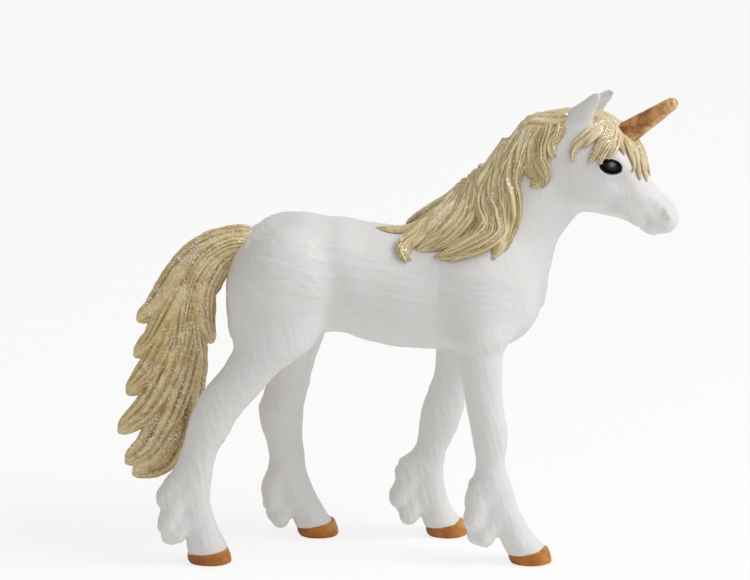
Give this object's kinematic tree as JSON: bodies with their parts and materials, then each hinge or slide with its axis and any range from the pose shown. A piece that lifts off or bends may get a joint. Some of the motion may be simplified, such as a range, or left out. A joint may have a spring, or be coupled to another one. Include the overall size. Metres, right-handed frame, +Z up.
{
  "type": "unicorn figurine",
  "caption": "Small standing unicorn foal in white painted plastic, with a straw-gold mane and tail, a bronze horn and tan hooves, that stands by itself as an ornament.",
  "frame": {"origin": "on the ground, at the middle of the figurine's length and width", "axes": "+X towards the nose, +Y to the foal's left, +Z up from the ground"},
  "size_m": [0.0895, 0.0236, 0.0766],
  "materials": {
    "white_coat": "matte white PVC with fine combed-fur relief",
    "gold_hair": "straw-gold paint with fine glitter over grooved locks",
    "bronze_horn": "worn bronze metallic paint",
    "black_eye": "black gloss lacquer",
    "tan_hoof": "satin tan-brown paint"
  },
  "bodies": {
    "root": {"torso": "white_coat", "head_neck": "white_coat", "right_ear": "white_coat", "left_ear": "white_coat", "right_fore_leg": "white_coat", "left_fore_leg": "white_coat", "right_hind_leg": "white_coat", "left_hind_leg": "white_coat", "mane": "gold_hair", "forelock": "gold_hair", "tail": "gold_hair", "horn": "bronze_horn", "right_eye": "black_eye", "left_eye": "black_eye", "right_fore_hoof": "tan_hoof", "left_fore_hoof": "tan_hoof", "right_hind_hoof": "tan_hoof", "left_hind_hoof": "tan_hoof"}
  },
  "joints": []
}
